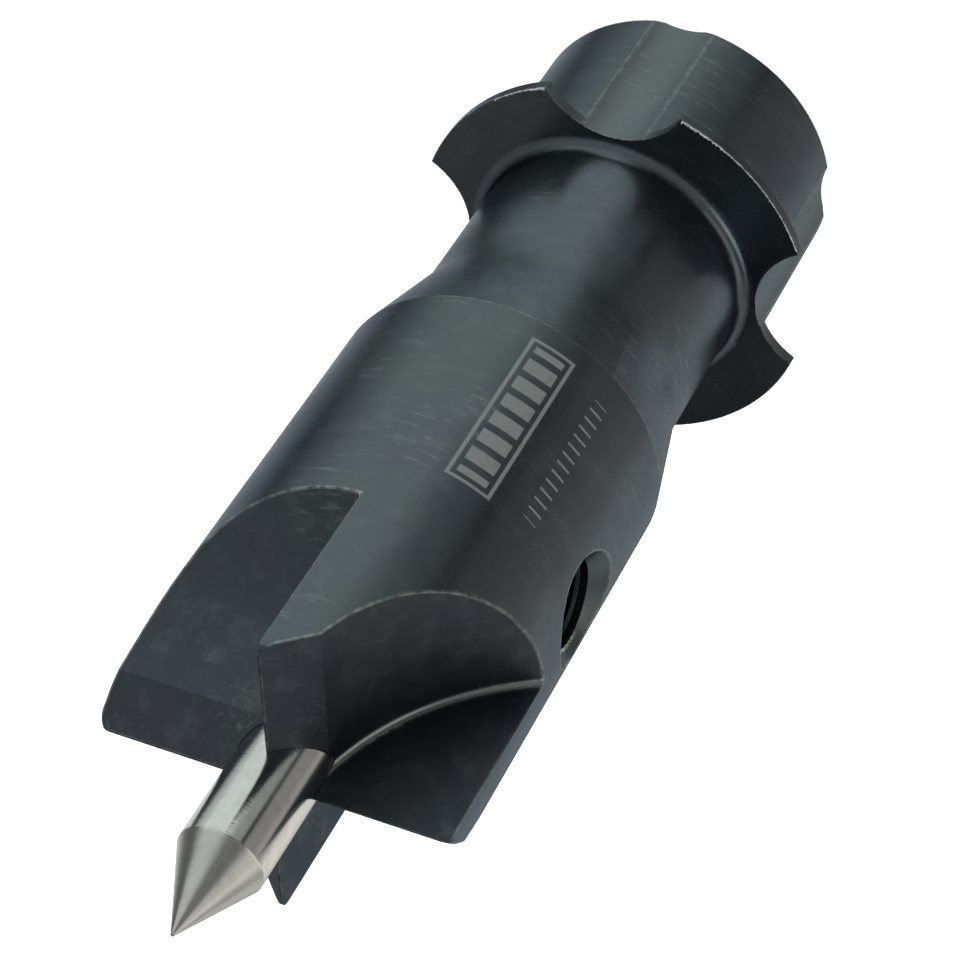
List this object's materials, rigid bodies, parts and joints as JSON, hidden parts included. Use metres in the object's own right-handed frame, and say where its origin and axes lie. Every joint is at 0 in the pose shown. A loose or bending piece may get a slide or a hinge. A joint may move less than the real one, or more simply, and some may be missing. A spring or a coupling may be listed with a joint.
{
  "type": "spur drive centre",
  "caption": "Spur drive centre for a wood lathe: a chuck grips its neck, chisel-edged spurs drive the wood, and a set screw clamps the replaceable point.",
  "frame": {"origin": "centre of the head's flat back face", "axes": "+Z along the tool axis towards the point, +X along the spur that the set screw hole is in line with"},
  "size_m": [0.0388, 0.0388, 0.1123],
  "materials": {
    "black_steel": "black oxide over turned and milled steel, satin, worn bright along sharp edges",
    "bright_steel": "ground and polished",
    "screw_steel": "black oxide, oily"
  },
  "bodies": {
    "spur_body": {"spur_body": "black_steel"},
    "center_point": {"center_point": "bright_steel"},
    "set_screw": {"set_screw": "screw_steel"}
  },
  "joints": [
    {"name": "point_slide", "type": "slide", "parent": "spur_body", "child": "center_point", "axis": [0, 0, 1], "range_m": [0, 0.0425]},
    {"name": "screw_travel", "type": "slide", "parent": "spur_body", "child": "set_screw", "axis": [1, 0, 0], "range_m": [0, 0.0105]}
  ]
}
